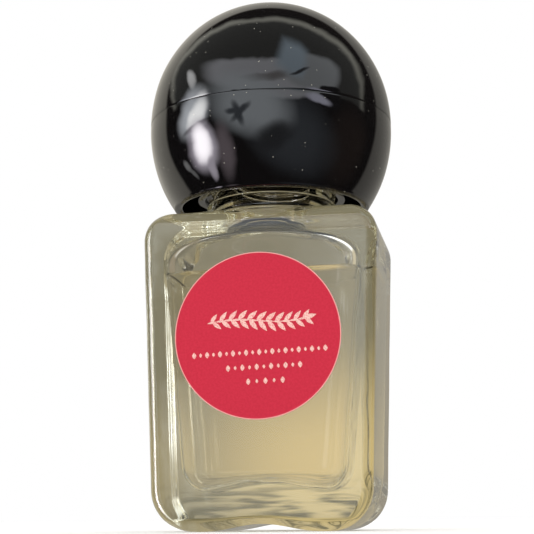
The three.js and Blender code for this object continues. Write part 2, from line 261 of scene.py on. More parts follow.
def cavity_rings(grow=0.0):
    """The cavity, from the middle of its floor up to the foot of the bore.

    Its floor is domed over the arch of the base, its walls follow the body's,
    and above the shoulder it closes in to the bore. grow moves it outwards.
    """
    step = np.linspace(0, np.pi / 2, EDGE_ROWS)
    spread = np.linspace(0, 1, 24)[:-1]
    half_depth = BODY_DEPTH / 2 - WALL_FRONT
    wall_z = np.concatenate([
        FLOOR + FLOOR_ROUNDING * (1 - np.cos(step)),
        np.linspace(FLOOR + FLOOR_ROUNDING, CAVITY_SHOULDER, 40)[1:],
    ])
    inset = drawn_in(FLOOR_ROUNDING, wall_z - FLOOR)
    wall_a, wall_b = cavity_half_width_at(wall_z) - inset, half_depth - inset
    wall_c = CAVITY_CORNER - inset / 3
    flare = BORE_RADIUS + BORE_FLARE
    close = np.linspace(0, np.pi / 2, 26)[1:]
    rise, keep = np.sin(close) ** 0.85, np.cos(close) ** 0.8
    curve = np.linspace(0, np.pi / 2, 10)[1:]
    z, a, b, c, m = stations(
        (FLOOR, spread * wall_a[0], spread * wall_b[0], spread * wall_c[0], 0.0),
        (wall_z, wall_a, wall_b, wall_c, 0.0),
        (CAVITY_SHOULDER + (CAVITY_TOP - CAVITY_SHOULDER) * rise,
         flare + (wall_a[-1] - flare) * keep, flare + (wall_b[-1] - flare) * keep,
         flare + (wall_c[-1] - flare) * keep, 1 - keep),
        (CAVITY_TOP + BORE_FLARE * (1 - np.cos(curve)),
         *[flare - BORE_FLARE * np.sin(curve)] * 3, 1.0),
    )
    x, y = plan_ring(a, b, c, m)
    z = z[:, None] + np.zeros_like(turn)
    on_wall = np.clip((z - FLOOR) / 3, 0, 1) * np.clip((CAVITY_TOP - z) / 3, 0, 1)
    x, y = swell(x, y, waves(z, INNER_WAVE, (2, 3, 5, 7)) * on_wall + grow)
    near_floor = np.clip(1 - (z - FLOOR) / FLOOR_ROUNDING, 0, 1) ** 2
    dome = FLOOR_DOME * np.cos(np.clip(x / 7.5, -1, 1) * np.pi / 2) ** 2
    ripple = 0.06 * np.sin(0.9 * x + 0.7) * np.cos(0.8 * y) + 0.04 * np.sin(1.9 * x - 1.1 * y)
    return x, y, z + near_floor * (dome + ripple) - grow * near_floor


def bore_rings():
    """The mouth's flat top and the straight bore, from the outer edge down."""
    curve = np.linspace(0, np.pi / 2, 7)
    z, radius = stations(
        (MOUTH, np.linspace(NECK_RADIUS - LIP_ROUNDING, BORE_RADIUS + LIP_ROUNDING, 5)[1:]),
        (MOUTH - LIP_ROUNDING * (1 - np.cos(curve[1:])),
         BORE_RADIUS + LIP_ROUNDING * (1 - np.sin(curve[1:]))),
        (np.linspace(MOUTH - LIP_ROUNDING, CAVITY_TOP + BORE_FLARE, 14)[1:-1], BORE_RADIUS),
    )
    x, y = plan_ring(radius, radius, radius, np.ones_like(radius))
    return x, y, z[:, None] + np.zeros_like(turn)


glass_rings = [np.vstack(parts) for parts in zip(
    outside_rings(), bore_rings(), [part[::-1] for part in cavity_rings()])]
glass = surface_piece("glass_body", *glass_rings, "bottle", "clear_glass")
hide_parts("glass_bottle")


def linear(hex_colour):
    """An sRGB hex colour as linear red, green, blue and alpha."""
    srgb = [int(hex_colour[i:i + 2], 16) / 255 for i in (1, 3, 5)]
    return (*[v / 12.92 if v <= 0.04045 else ((v + 0.055) / 1.055) ** 2.4 for v in srgb], 1.0)


def add(tree, kind, values):
    """Adds one node. Each value feeds an input from a socket, or sets an input or a property."""
    node = tree.nodes.new(kind)
    for name, value in values.items():
        if isinstance(value, bpy.types.NodeSocket):
            tree.links.new(value, node.inputs[name])
        elif isinstance(name, int) or name in node.inputs:
            node.inputs[name].default_value = value
        else:
            setattr(node, name, value)
    return node


def new_material(name, *pieces):
    """An empty node material in the pieces' next slot: its nodes and its output."""
    material = bpy.data.materials.new(name)
    material.use_nodes = True
    material.node_tree.nodes.clear()
    for piece in pieces:
        piece.data.materials.append(material)
    return material.node_tree, add(material.node_tree, "ShaderNodeOutputMaterial", {})


def clear_body(tree, output, ior, tint, density, normal):
    """A clear body: it bends light, tints it on the way through, and lets lamps through."""
    body = add(tree, "ShaderNodeBsdfPrincipled", {
        "Base Color": (1, 1, 1, 1), "Roughness": 0.0, "IOR": ior, "Transmission Weight": 1.0,
        "Normal": normal,
    })
    passed = add(tree, "ShaderNodeBsdfTransparent", {"Color": (1, 1, 1, 1)})
    path = add(tree, "ShaderNodeLightPath", {})
    surface = add(tree, "ShaderNodeMixShader", {
        0: path.outputs["Is Shadow Ray"], 1: body.outputs[0], 2: passed.outputs[0],
    })
    inside = add(tree, "ShaderNodeVolumeAbsorption", {"Color": tint, "Density": density})
    tree.links.new(surface.outputs[0], output.inputs["Surface"])
    tree.links.new(inside.outputs[0], output.inputs["Volume"])


def noise_bump(tree, length, depth, detail=1.0):
    """A bump of smooth noise, with its wavelength and its depth in millimetres."""
    place = add(tree, "ShaderNodeTexCoord", {})
    noise = add(tree, "ShaderNodeTexNoise", {
        "Vector": place.outputs["Object"], "Scale": 1 / (length * MM), "Detail": detail,
    })
    return add(tree, "ShaderNodeBump", {
        "Strength": 1.0, "Distance": depth * MM, "Height": noise.outputs["Fac"],
    }).outputs[0]


# Soda-lime glass, fire-finished: clear, very smooth, faintly grey-green where
# it is thick, with a slow shallow ripple from the mould.
GLASS_IOR, GLASS_TINT, GLASS_DENSITY = 1.5, "#d2d7ba", 14.0
RIPPLE_LENGTH, RIPPLE_DEPTH = 3.0, 0.012
tree, output = new_material("soda_lime_glass", glass)
clear_body(tree, output, GLASS_IOR, linear(GLASS_TINT), GLASS_DENSITY,
           noise_bump(tree, RIPPLE_LENGTH, RIPPLE_DEPTH))


# ---- Perfume ------------------------------------------------------------
# A pale straw-yellow liquid, mostly alcohol. It wets the glass, so its
# surface climbs the wall in a meniscus; it reaches just into the wall here,
# so that no film of air shows between them.
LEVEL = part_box("perfume")[1][2] / MM
MENISCUS_RISE, MENISCUS_REACH = 0.45, 0.7
WETTED = 0.03
PERFUME_IOR, PERFUME_TINT, PERFUME_DENSITY = 1.37, "#efe2a8", 42.0
STILL_LENGTH, STILL_DEPTH = 8.0, 0.002

wall_x, wall_y, wall_z = cavity_rings(WETTED)
contact = LEVEL + MENISCUS_RISE
below = int(np.argmax(wall_z.min(1) > contact))
share = (contact - wall_z[below - 1, 0]) / (wall_z[below, 0] - wall_z[below - 1, 0])
edge_x = wall_x[below - 1] + share * (wall_x[below] - wall_x[below - 1])
edge_y = wall_y[below - 1] + share * (wall_y[below] - wall_y[below - 1])
inward = np.concatenate([1 - np.linspace(0, 0.5, 30) ** 1.5 * 0.9, np.linspace(0.65, 0, 14)])[:, None]
from_wall = (1 - inward) * np.abs(edge_y).max()
film_z = LEVEL + MENISCUS_RISE * np.exp(-from_wall / MENISCUS_REACH)
perfume = surface_piece(
    "perfume_fill",
    np.vstack([wall_x[:below], edge_x * inward]),
    np.vstack([wall_y[:below], edge_y * inward]),
    np.vstack([wall_z[:below], film_z + np.zeros_like(turn)]),
    "bottle", "perfume_liquid")
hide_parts("perfume")
tree, output = new_material("perfume_alcohol", perfume)
clear_body(tree, output, PERFUME_IOR, linear(PERFUME_TINT), PERFUME_DENSITY,
           noise_bump(tree, STILL_LENGTH, STILL_DEPTH))


# ---- Paper label --------------------------------------------------------
# A round self-adhesive label of coated paper, die-cut from stock printed red.
# The cut edge shows the paper's own pale pink, and the back is plain white.
label_low, label_high = [np.array(corner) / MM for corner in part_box("paper_label")]
LABEL_RADIUS = (label_high[0] - label_low[0]) / 2
LABEL_CENTRE = (label_high[2] + label_low[2]) / 2
LABEL_FACE, LABEL_BACK = label_low[1], label_high[1] + 0.03
LABEL_EDGE, LABEL_LIFT, STUCK_SHARE = 0.03, 0.012, 0.97
radial = np.linspace(0, 1, 40)
edge_turn = np.linspace(0, np.pi / 2, 5)[1:]
label_r, label_y = stations(
    (radial * (LABEL_RADIUS - LABEL_EDGE), LABEL_FACE),
    (LABEL_RADIUS - LABEL_EDGE * (1 - np.sin(edge_turn)),
     LABEL_FACE + LABEL_EDGE * (1 - np.cos(edge_turn))),
    (np.linspace(1, 0, 16) * LABEL_RADIUS, LABEL_BACK),
)
angle = -2 * np.pi * turn
free = np.clip((label_r / LABEL_RADIUS - STUCK_SHARE) / (1 - STUCK_SHARE), 0, 1)[:, None] ** 2
lifted = LABEL_LIFT * free * np.clip(np.sin(3 * angle + 0.8) + 0.6 * np.sin(7 * angle), 0, 2)
label = surface_piece(
    "label_paper", label_r[:, None] * np.cos(angle), label_y[:, None] - lifted,
    LABEL_CENTRE + label_r[:, None] * np.sin(angle), "bottle", "label_paper")
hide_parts("paper_label")


def blend(tree, share, first, second):
    """A colour on the way from one colour to another; either may come from a socket."""
    return add(tree, "ShaderNodeMix", {"data_type": "RGBA", 0: share, 6: first, 7: second}).outputs[2]


def step_up(tree, value, low, high):
    """0 below low, 1 above high, and smooth between."""
    return add(tree, "ShaderNodeMapRange", {
        "interpolation_type": "SMOOTHSTEP", "Value": value, "From Min": low, "From Max": high,
    }).outputs[0]


# Coated paper printed solid red: a flat sheen, a faint mottle of the fibres
# under the ink, and a paler line where the cutter has broken the ink.
LABEL_RED, LABEL_DEEP, LABEL_CUT, LABEL_WHITE = "#cc2f45", "#c42a3f", "#f2a9a6", "#e9e2d6"
FIBRE_LENGTH, FIBRE_DEPTH, CUT_WIDTH = 0.22, 0.0012, 0.12
tree, output = new_material("coated_label_paper", label)
place = add(tree, "ShaderNodeTexCoord", {})
centred = add(tree, "ShaderNodeMapping", {
    "Vector": place.outputs["Object"], "Location": (0, 0, -LABEL_CENTRE * MM),
})
upright = add(tree, "ShaderNodeVectorMath", {
    "operation": "MULTIPLY", 0: centred.outputs[0], 1: (1, 0, 1),
})
from_centre = add(tree, "ShaderNodeVectorMath", {"operation": "LENGTH", 0: upright.outputs[0]})
depth = add(tree, "ShaderNodeSeparateXYZ", {"Vector": place.outputs["Object"]})
fibres = add(tree, "ShaderNodeTexNoise", {
    "Vector": place.outputs["Object"], "Scale": 1 / (FIBRE_LENGTH * MM), "Detail": 4.0,
})
ink = blend(tree, step_up(tree, fibres.outputs["Fac"], 0.3, 0.7), linear(LABEL_DEEP), linear(LABEL_RED))
cut = step_up(tree, from_centre.outputs["Value"], (LABEL_RADIUS - CUT_WIDTH) * MM,
              (LABEL_RADIUS - CUT_WIDTH / 2) * MM)
face = blend(tree, cut, ink, linear(LABEL_CUT))
behind = step_up(tree, depth.outputs["Y"], (LABEL_FACE + 0.07) * MM, (LABEL_FACE + 0.09) * MM)
paper = add(tree, "ShaderNodeBsdfPrincipled", {
    "Base Color": blend(tree, behind, face, linear(LABEL_WHITE)), "Roughness": 0.6, "IOR": 1.45,
    "Specular IOR Level": 0.15, "Normal": noise_bump(tree, FIBRE_LENGTH, FIBRE_DEPTH, 3.0),
})
tree.links.new(paper.outputs[0], output.inputs["Surface"])


# ---- Label print --------------------------------------------------------
# Cream ink on the red, as a plain ornament: a leafy sprig with three rows of
# small lozenges under it. The ink is a thin film that stands just proud.
INK_PROUD, INK_STEP, INK_SUNK, INK_POINTS = 0.006, 0.0025, 0.01, 24
PRINT_TILT = math.radians(1.7)
SPRIG_LEFT, SPRIG_RIGHT, SPRIG_LOW, SPRIG_HEIGHT = -4.8, 5.0, 1.35, 0.22
LEAF_PAIRS, LEAF_LENGTH, LEAF_WIDTH, LEAF_LEAN = 11, 1.3, 0.46, math.radians(46)
STEM_WIDTH = 0.2
ROWS = ((-6.15, 6.45, -1.65, 21), (-2.9, 4.0, -3.05, 11), (-1.0, 2.3, -4.4, 5))
LOZENGE_WIDTH, LOZENGE_HEIGHT = 0.4, 0.62


def lens(length, width, taper):
    """A leaf's outline on its own axis: half a sine each side, fuller near its foot."""
    share = np.concatenate([np.linspace(0, 1, INK_POINTS // 2), np.linspace(1, 0, INK_POINTS // 2 + 2)[1:-1]])
    side = np.where(np.arange(INK_POINTS) < INK_POINTS // 2, -1, 1)
    return length * share, side * width / 2 * np.sin(np.pi * share**taper)


def placed(outline, x, z, angle, scale=1.0):
    """Outlines turned to their angles and moved to their places, one row for each."""
    along, across = outline
    x, z, angle, scale = [np.asarray(v, float)[:, None] for v in np.broadcast_arrays(x, z, angle, scale)]
    return (x + scale * (along * np.cos(angle) - across * np.sin(angle)),
            z + scale * (along * np.sin(angle) + across * np.cos(angle)))


def stem_height(x):
    """The sprig's stem: a shallow S along the line of print."""
    return SPRIG_LOW + SPRIG_HEIGHT * np.sin(np.pi * (x - SPRIG_LEFT) / (SPRIG_RIGHT - SPRIG_LEFT) * 2)


leaf_x = np.linspace(SPRIG_LEFT + 0.35, SPRIG_RIGHT - 0.55, LEAF_PAIRS)
leaf_slope = np.arctan(np.gradient(stem_height(leaf_x), leaf_x))
leaf_size = 0.72 + 0.28 * np.sin(np.pi * np.linspace(0.12, 0.9, LEAF_PAIRS))
leaf = lens(LEAF_LENGTH, LEAF_WIDTH, 0.8)
shapes = [placed(leaf, leaf_x, stem_height(leaf_x), leaf_slope + LEAF_LEAN, leaf_size),
          placed(leaf, leaf_x + 0.2, stem_height(leaf_x + 0.2), leaf_slope - LEAF_LEAN, leaf_size),
          placed(leaf, [SPRIG_RIGHT - 0.5], [stem_height(SPRIG_RIGHT - 0.5)], [0.25], [1.0])]
stem_x = np.linspace(SPRIG_LEFT, SPRIG_RIGHT - 0.3, 13)
stem_run = np.hypot(np.diff(stem_x), np.diff(stem_height(stem_x)))
stem_turn = np.arctan2(np.diff(stem_height(stem_x)), np.diff(stem_x))
dash = lens(1.25, STEM_WIDTH / stem_run.mean(), 1.0)
shapes.append(placed(dash, stem_x[:-1], stem_height(stem_x[:-1]), stem_turn, stem_run))
lozenge = lens(LOZENGE_HEIGHT, LOZENGE_WIDTH, 1.0)
for left, right, low, count in ROWS:
    row_x = np.linspace(left, right, count)
    size = 1 - 0.35 * (np.arange(count) % 2)
    shapes.append(placed(lozenge, row_x, low - LOZENGE_HEIGHT * size / 2, np.pi / 2, size))
print_x, print_z = [np.vstack(parts) for parts in zip(*shapes)]
print_x, print_z = (print_x * math.cos(PRINT_TILT) - print_z * math.sin(PRINT_TILT),
                    LABEL_CENTRE + print_x * math.sin(PRINT_TILT) + print_z * math.cos(PRINT_TILT))
group = np.repeat(np.arange(len(shapes)), [len(part[0]) for part in shapes])
proud = INK_PROUD + INK_STEP * (2 * group + np.arange(len(group)) % 2)[:, None]
front = np.stack([print_x, LABEL_FACE - proud + 0 * print_x, print_z], -1)
rear = np.stack([print_x, LABEL_FACE + INK_SUNK + 0 * print_x, print_z], -1)
corners = np.arange(front.shape[0] * INK_POINTS).reshape(-1, INK_POINTS)
count = corners.size
following = np.roll(corners, -1, 1)
walls = np.stack([corners, corners + count, following + count, following], -1).reshape(-1, 4)
mesh = bpy.data.meshes.new("label_print")
mesh.from_pydata((np.vstack([front.reshape(-1, 3), rear.reshape(-1, 3)]) * MM).tolist(), [],
                 corners.tolist() + (corners[:, ::-1] + count).tolist() + walls.tolist())
label_print = bpy.data.objects.new("label_print", mesh)
bpy.context.collection.objects.link(label_print)
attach(label_print, "bottle")

# Cream ink, screened on: matt, and a little uneven where the red shows through.
INK_CREAM, INK_THIN = "#f4cfc2", "#e68f8e"
INK_GRAIN = 0.12
tree, output = new_material("cream_screen_ink", label_print)
place = add(tree, "ShaderNodeTexCoord", {})
grain = add(tree, "ShaderNodeTexNoise", {
    "Vector": place.outputs["Object"], "Scale": 1 / (INK_GRAIN * MM), "Detail": 3.0,
})
ink = add(tree, "ShaderNodeBsdfPrincipled", {
    "Base Color": blend(tree, step_up(tree, grain.outputs["Fac"], 0.35, 0.6),
                        linear(INK_THIN), linear(INK_CREAM)),
    "Roughness": 0.6, "IOR": 1.45,
})
tree.links.new(ink.outputs[0], output.inputs["Surface"])


# ---- Cap liner ----------------------------------------------------------
# A disc of white polyethylene foam, punched from sheet, which the deck of the
# cap presses on to the mouth. It lies between the two, and hardly shows.
liner_low, liner_high = [np.array(corner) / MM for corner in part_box("cap_liner")]
LINER_RADIUS, LINER_EDGE = liner_high[0], 0.12
edge_turn = np.linspace(0, np.pi / 2, 6)
liner_r, liner_z = stations(
    (np.linspace(0, LINER_RADIUS - LINER_EDGE, 20)[:-1], liner_low[2]),
    (LINER_RADIUS - LINER_EDGE * (1 - np.sin(edge_turn)),
     liner_low[2] + LINER_EDGE * (1 - np.cos(edge_turn))),
    (LINER_RADIUS - LINER_EDGE * (1 - np.cos(edge_turn)),
     liner_high[2] - LINER_EDGE * (1 - np.sin(edge_turn))),
    (np.linspace(LINER_RADIUS - LINER_EDGE, 0, 20)[1:], liner_high[2]),
)
liner = surface_piece(
    "cap_liner_disc", *plan_ring(liner_r, liner_r, liner_r, np.ones_like(liner_r)),
    liner_z[:, None], "liner", "liner_foam")
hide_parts("cap_liner")

# Closed-cell foam: off-white and matt, with its cells as a fine pitting, and painted shade that darkens each
# pit.
FOAM_WHITE, FOAM_SHADE, CELL_SIZE, CELL_DEPTH = "#eeece4", "#d9d5c9", 0.18, 0.03
tree, output = new_material("closed_cell_foam", liner)
place = add(tree, "ShaderNodeTexCoord", {})
cells = add(tree, "ShaderNodeTexVoronoi", {
    "Vector": place.outputs["Object"], "Scale": 1 / (CELL_SIZE * MM),
})
pits = add(tree, "ShaderNodeBump", {
    "Strength": 1.0, "Distance": CELL_DEPTH * MM, "Height": cells.outputs["Distance"],
})
foam = add(tree, "ShaderNodeBsdfPrincipled", {
    "Base Color": blend(tree, cells.outputs["Distance"], linear(FOAM_SHADE), linear(FOAM_WHITE)),
    "Roughness": 0.75, "IOR": 1.5, "Normal": pits.outputs[0],
})
tree.links.new(foam.outputs[0], output.inputs["Surface"])


# ---- Cap skirt ----------------------------------------------------------
# The lower half of the ball, moulded in one with the deck that crosses it and
# the threaded collar that hangs from the deck and screws on to the neck.
skirt_low, skirt_high = [np.array(corner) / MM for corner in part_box("cap_skirt")]
BALL_RADIUS, RIM = skirt_high[0], skirt_low[2]
SKIRT_CENTRE, SKIRT_HEIGHT, SEAM = 40.4, 13.3, 41.0
RIM_ROUNDING, SEAM_ROUNDING, LAND_LEAN = 0.22, 0.02, 0.01
INNER_RADIUS, INNER_HEIGHT, INNER_CENTRE = 11.2, 12.1, 39.6
DECK_UNDERSIDE, DECK_TOP = 39.45, 40.5
COLLAR_BORE, COLLAR_OUTER, COLLAR_FOOT, COLLAR_ROUNDING = 6.75, 7.6, 33.2, 0.15
CAP_THREAD_CREST, CAP_THREAD_TURNS, CAP_THREAD_DELAY = 6.1, 1.2, 0.3
SPIGOT_OUTER, SPIGOT_INNER = 11.1, 10.1
MOULD_WAVE = 0.006


def ball_wave(x, y, z):
    """Slow unevenness of a moulded ball: sines along three slanted lines, all inwards."""
    return MOULD_WAVE * (np.sin(0.9 * x + 0.5 * z) + np.sin(0.8 * y - 0.7 * z + 1.3)
                         + np.sin(0.6 * x - 0.5 * y + 0.9 * z + 2.1) - 3)


def ball_rings(profile_r, profile_z, shown):
    """Rings of a turned piece; where shown is 1, the surface has the moulding's waves."""
    x, y = plan_ring(profile_r, profile_r, profile_r, np.ones_like(profile_r))
    z = profile_z[:, None] + np.zeros_like(turn)
    wave = 1 + ball_wave(x, y, z) * shown[:, None] / BALL_RADIUS
    return x * wave, y * wave, z


quarter = np.linspace(0, np.pi / 2, 5)
inner_rise = np.arcsin((RIM + RIM_ROUNDING - INNER_CENTRE) / INNER_HEIGHT)
outer_rise = np.arcsin((RIM + RIM_ROUNDING - SKIRT_CENTRE) / SKIRT_HEIGHT)
inner_sweep = np.linspace(np.radians(-3), inner_rise, 36)
outer_sweep = np.linspace(outer_rise, 0, 72)
inner_end = INNER_RADIUS * np.cos(inner_rise)
outer_end = BALL_RADIUS * np.cos(outer_rise)
lip = np.linspace(0, np.pi, 11)[1:-1]
lip_middle, lip_half = (inner_end + outer_end) / 2, (outer_end - inner_end) / 2
bore_z = np.arange(DECK_UNDERSIDE - 0.1, COLLAR_FOOT + COLLAR_ROUNDING, -0.07)
skirt_r, skirt_z, skirt_shown = stations(
    (np.linspace(0, COLLAR_BORE - 0.1, 12), DECK_UNDERSIDE, 0.0),
    (COLLAR_BORE, bore_z, 0.0),
    (COLLAR_BORE + COLLAR_ROUNDING * (1 - np.cos(quarter)),
     COLLAR_FOOT + COLLAR_ROUNDING * (1 - np.sin(quarter)), 0.0),
    (COLLAR_OUTER - COLLAR_ROUNDING * (1 - np.sin(quarter)),
     COLLAR_FOOT + COLLAR_ROUNDING * (1 - np.cos(quarter)), 0.0),
    (COLLAR_OUTER, np.linspace(COLLAR_FOOT + 0.5, DECK_UNDERSIDE - 0.8, 12), 0.0),
    (COLLAR_OUTER + 0.4 * (1 - np.cos(quarter[1:])), DECK_UNDERSIDE - 0.8 + 0.4 * np.sin(quarter[1:]), 0.0),
    (INNER_RADIUS * np.cos(inner_sweep), INNER_CENTRE + INNER_HEIGHT * np.sin(inner_sweep), 0.0),
    (lip_middle - lip_half * np.cos(lip), RIM + RIM_ROUNDING * (1 - np.sin(lip)), 0.0),
    (BALL_RADIUS * np.cos(outer_sweep), SKIRT_CENTRE + SKIRT_HEIGHT * np.sin(outer_sweep),
     np.clip((outer_sweep - outer_rise) / 0.1, 0, 1)),
    (BALL_RADIUS - LAND_LEAN * np.linspace(0, 1, 6)[1:] ** 2,
     np.linspace(SKIRT_CENTRE, SEAM - SEAM_ROUNDING, 6)[1:], 1.0),
    (BALL_RADIUS - LAND_LEAN - SEAM_ROUNDING * (1 - np.cos(quarter[1:])),
     SEAM - SEAM_ROUNDING * (1 - np.sin(quarter[1:])), 1.0),
    (np.linspace(BALL_RADIUS - 0.15, SPIGOT_OUTER + 0.05, 4), SEAM, 0.0),
    (SPIGOT_OUTER, np.linspace(SEAM + 0.05, SEAM + 0.85, 4), 0.0),
    (np.linspace(SPIGOT_OUTER - 0.05, SPIGOT_INNER + 0.05, 4), SEAM + 0.9, 0.0),
    (SPIGOT_INNER, np.linspace(SEAM + 0.85, DECK_TOP + 0.05, 5), 0.0),
    (np.linspace(SPIGOT_INNER - 0.05, 0, 14), DECK_TOP, 0.0),
)
x, y, z = ball_rings(skirt_r, skirt_z, skirt_shown)
in_bore = (np.abs(skirt_r - COLLAR_BORE) < 0.001)[:, None] & (z < DECK_UNDERSIDE - 0.05)
ridge_start = NECK_THREAD_START + THREAD_PITCH * (CAP_THREAD_DELAY - 0.5)
ridge = thread_ridge(z, ridge_start, CAP_THREAD_DELAY, CAP_THREAD_TURNS) * in_bore
shrink = 1 - ridge * (COLLAR_BORE - CAP_THREAD_CREST) / COLLAR_BORE
skirt = surface_piece("cap_lower_half", x * shrink, y * shrink, z, "cap", "black_plastic")
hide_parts("cap_skirt")


# ---- Cap dome -----------------------------------------------------------
# The upper half of the ball, a shell pressed over the skirt's spigot. Only a
# hairline seam shows between the two, because both come to the same girth.
dome_low = np.array(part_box("cap_dome")[0]) / MM
DOME_WALL, DOME_FOOT = 1.2, dome_low[2]
DOME_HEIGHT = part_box("cap_dome")[1][2] / MM - SEAM
inner_dome = np.linspace(np.pi / 2, 0.01, 40)
foot_turn = np.linspace(0, np.pi / 2, 5)
start = np.arcsin((DOME_FOOT + SEAM_ROUNDING - SEAM) / DOME_HEIGHT)
outer_dome = np.concatenate([np.linspace(start, 1.4, 110), np.linspace(1.4, np.pi / 2, 16)[1:]])
dome_inner = BALL_RADIUS - DOME_WALL
dome_r, dome_z, dome_shown = stations(
    (dome_inner * np.cos(inner_dome), SEAM + (DOME_HEIGHT - DOME_WALL) * np.sin(inner_dome), 0.0),
    (dome_inner + 0.05 * (1 - np.cos(foot_turn)), DOME_FOOT + 0.05 * (1 - np.sin(foot_turn)), 0.0),
    (BALL_RADIUS - SEAM_ROUNDING * (1 - np.sin(foot_turn[:-1])),
     DOME_FOOT + SEAM_ROUNDING * (1 - np.cos(foot_turn[:-1])), 1.0),
    (BALL_RADIUS * np.cos(outer_dome), SEAM + DOME_HEIGHT * np.sin(outer_dome),
     1 - np.clip((outer_dome - 1.4) / 0.1, 0, 1)),
)
dome_r[0] = dome_r[-1] = 0
dome = surface_piece("cap_upper_half", *ball_rings(dome_r, dome_z, dome_shown), "cap", "black_plastic")
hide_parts("cap_dome")

# Black phenolic-like plastic from a polished mould: a deep wet gloss with
# hairline rubs from handling, and a little pale dust caught on it.
PLASTIC_BLACK, DUST_GREY = "#0b0a0b", "#a8a498"
PLASTIC_IOR, GLOSS, RUBBED, DUST_ROUGH = 1.52, 0.035, 0.16, 0.5
DUST_SPACING, DUST_SIZE, RUB_LENGTH, RUB_WIDTH, DRIFT = 0.6, 0.04, 3.0, 0.09, 5
FLOW_LENGTH, FLOW_DEPTH = 2.5, 0.0015
tree, output = new_material("polished_black_plastic", skirt, dome)
place = add(tree, "ShaderNodeTexCoord", {})
drift = add(tree, "ShaderNodeTexNoise", {
    "Vector": place.outputs["Object"], "Scale": 1 / (DRIFT * MM), "Detail": 2.0,
})
grains = add(tree, "ShaderNodeTexVoronoi", {
    "Vector": place.outputs["Object"], "Scale": 1 / (DUST_SPACING * MM),
})
lone = add(tree, "ShaderNodeSeparateColor", {"Color": grains.outputs["Color"]})
kept = step_up(tree, lone.outputs[0], 0.66, 0.68)
near = step_up(tree, grains.outputs["Distance"], DUST_SIZE / DUST_SPACING * 1.3, DUST_SIZE / DUST_SPACING)
dust = add(tree, "ShaderNodeMath", {"operation": "MULTIPLY", 0: kept, 1: near}).outputs[0]
slanted = add(tree, "ShaderNodeMapping", {
    "Vector": place.outputs["Object"], "Rotation": (0.5, 0.9, 0.3),
    "Scale": (1 / RUB_LENGTH, 1 / RUB_WIDTH, 1 / RUB_WIDTH),
})
rubs = add(tree, "ShaderNodeTexNoise", {"Vector": slanted.outputs[0], "Scale": 1 / MM, "Detail": 2.0})
rubbed = step_up(tree, rubs.outputs["Fac"], 0.66, 0.74)
worn = add(tree, "ShaderNodeMath", {"operation": "MULTIPLY", 0: rubbed, 1: drift.outputs["Fac"]}).outputs[0]
rough = add(tree, "ShaderNodeMapRange", {"Value": worn, "To Min": GLOSS, "To Max": RUBBED}).outputs[0]
dusty = add(tree, "ShaderNodeMath", {
    "operation": "MULTIPLY_ADD", 0: dust, 1: DUST_ROUGH, 2: rough,
}).outputs[0]
plastic = add(tree, "ShaderNodeBsdfPrincipled", {
    "Base Color": blend(tree, dust, linear(PLASTIC_BLACK), linear(DUST_GREY)),
    "Roughness": dusty, "IOR": PLASTIC_IOR,
    "Normal": noise_bump(tree, FLOW_LENGTH, FLOW_DEPTH, 2.0),
})
tree.links.new(plastic.outputs[0], output.inputs["Surface"])


# ---- Camera -------------------------------------------------------------
# A hand-held view from low in front and a little to the right, looking
# slightly up and back to the left.
EYE = np.array([22.8, -122.2, 1.0])
YAW, PITCH, ROLL = 0.189, 0.169, -0.008
FOCAL_PIXELS, SHIFT_Y = 1246, 0.0768
FRAME_PIXELS, SENSOR = 534, 36
camera = bpy.data.objects.new("camera", bpy.data.cameras.new("camera"))
bpy.context.collection.objects.link(camera)
camera.location = EYE * MM
camera.rotation_euler = (Matrix.Rotation(YAW, 3, "Z") @ Matrix.Rotation(math.pi / 2 + PITCH, 3, "X")
                         @ Matrix.Rotation(ROLL, 3, "Z")).to_euler()
camera.data.sensor_width = SENSOR
camera.data.lens = FOCAL_PIXELS * SENSOR / FRAME_PIXELS
camera.data.shift_y = SHIFT_Y
camera.data.clip_start = 0.005
bpy.context.scene.camera = camera
bpy.context.scene.view_settings.view_transform = "Standard"


# ---- Floor --------------------------------------------------------------
# A wide sheet of white card. It is left out of mirrored and bent rays, which
# see the room instead.
FLOOR_RADIUS, FLOOR_POINTS, CARD_WHITE = 3000, 96, "#f4f3f0"
mesh = bpy.data.meshes.new("floor")
around = 2 * np.pi * np.arange(FLOOR_POINTS) / FLOOR_POINTS
rim = np.stack([np.cos(around), np.sin(around), 0 * around], -1) * FLOOR_RADIUS * MM
mesh.from_pydata(rim.tolist(), [], [list(range(FLOOR_POINTS))])
floor = bpy.data.objects.new("floor", mesh)
bpy.context.collection.objects.link(floor)
floor.visible_glossy = False
floor.visible_transmission = False
tree, output = new_material("white_card", floor)
card = add(tree, "ShaderNodeBsdfPrincipled", {"Base Color": linear(CARD_WHITE), "Roughness": 0.9})
tree.links.new(card.outputs[0], output.inputs["Surface"])


# ---- Backdrop -----------------------------------------------------------
# A tan card close behind the bottle, seen only through the glass, which glows with its own light.
# It has a painted pool of light low on the right, painted shade under the cap, and painted shadow
# near the floor broken into olive streaks, which the thick base bends into ripples.
CARD_BEHIND, CARD_HALF_WIDTH, CARD_LOW, CARD_HIGH = 1.5, 40, -25, 70
CARD_DIM, CARD_PAINTED_LIGHT, CARD_SHADE, CARD_OLIVE_SHADOW = "#857e66", "#dac48c", "#6e6750", "#6e6544"
LIGHT_POOL_CENTRE, LIGHT_POOL_SIZE = (4.5, 6.5), (14.0, 11.5)
SHADE_FROM, SHADE_FULL, STREAK_FROM, STREAK_FULL = 30.5, 35.0, 5.5, 3.0
STREAK_LENGTH, STREAK_WIDTH = 6.0, 0.5
mesh = bpy.data.meshes.new("backdrop")
card_y = (BODY_DEPTH / 2 + CARD_BEHIND) * MM
mesh.from_pydata([(x * MM, card_y, z * MM) for x, z in (
    (-CARD_HALF_WIDTH, CARD_LOW), (CARD_HALF_WIDTH, CARD_LOW),
    (CARD_HALF_WIDTH, CARD_HIGH), (-CARD_HALF_WIDTH, CARD_HIGH))], [], [(0, 1, 2, 3)])
backdrop = bpy.data.objects.new("backdrop", mesh)
